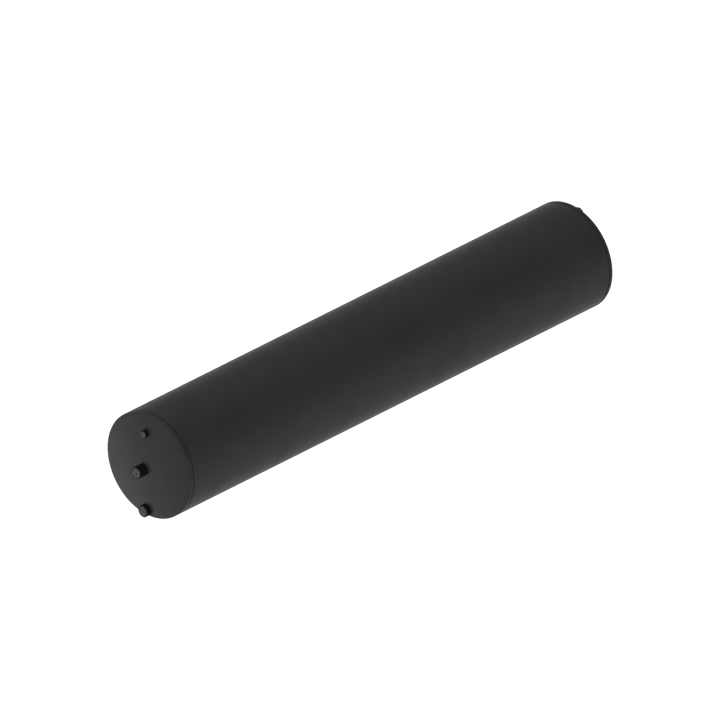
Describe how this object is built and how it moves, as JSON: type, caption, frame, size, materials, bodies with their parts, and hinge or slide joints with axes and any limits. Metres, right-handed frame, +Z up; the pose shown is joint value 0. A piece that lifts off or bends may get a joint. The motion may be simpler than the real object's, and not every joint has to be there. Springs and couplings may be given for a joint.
{
  "type": "hydraulic reservoir",
  "caption": "Long round welded steel oil tank lying on its side, with dished heads and threaded ports, held by straps round its shell.",
  "frame": {"origin": "on the tank's axis at mid-length, the middle of the strap seat", "axes": "+Y along the tank's axis towards the far head with the fill port, -Y towards the head with three ports, +Z up, +X to the right seen from the three-port head"},
  "size_m": [0.254, 1.4462, 0.254],
  "materials": {
    "tank_paint": "satin charcoal black paint",
    "weld_paint": "weld bead under the same paint",
    "fitting_black": "black forged fitting, low sheen",
    "bare_plate": "hot-rolled plate, oiled",
    "weld_bare": "bare weld",
    "bare_tube": "drawn steel tube, oiled",
    "perforated_steel": "perforated stainless sheet",
    "zinc_plate": "zinc plated",
    "wire_gauze": "woven stainless gauze",
    "poppet_brass": "turned brass",
    "spring_steel": "drawn spring wire",
    "nitrile": "matt nitrile rubber"
  },
  "bodies": {
    "tank": {"shell": "tank_paint", "near_head": "tank_paint", "far_head": "tank_paint", "shell_seam_weld": "weld_paint", "near_girth_weld": "weld_paint", "far_girth_weld": "weld_paint", "vent_coupling": "fitting_black", "vent_coupling_weld": "weld_paint", "return_coupling": "fitting_black", "return_coupling_weld": "weld_paint", "suction_coupling": "fitting_black", "suction_coupling_weld": "weld_paint", "fill_coupling": "fitting_black", "fill_coupling_weld": "weld_paint", "baffle_1": "bare_plate", "baffle_1_welds": "weld_bare", "tube_grommet_1": "nitrile", "baffle_2": "bare_plate", "baffle_2_welds": "weld_bare", "tube_grommet_2": "nitrile", "baffle_3": "bare_plate", "baffle_3_welds": "weld_bare", "tube_grommet_3": "nitrile", "return_tube": "bare_tube", "diffuser_shell": "perforated_steel", "diffuser_inlet_plate": "perforated_steel", "diffuser_end_cap": "perforated_steel", "strainer_nipple": "zinc_plate", "strainer_core": "perforated_steel", "strainer_mesh": "wire_gauze", "strainer_end_cap": "zinc_plate", "bypass_retainer": "zinc_plate", "bypass_spring": "spring_steel", "vent_splash_plate": "bare_plate"},
    "poppet": {"bypass_poppet": "poppet_brass"}
  },
  "joints": [
    {"name": "bypass_poppet_slide", "type": "slide", "parent": "tank", "child": "poppet", "axis": [0, -1, 0], "range_m": [0, 0.004], "stiffness_N_per_m": 350, "springref_m": -0.0045, "deforming": ["bypass_spring"]}
  ]
}
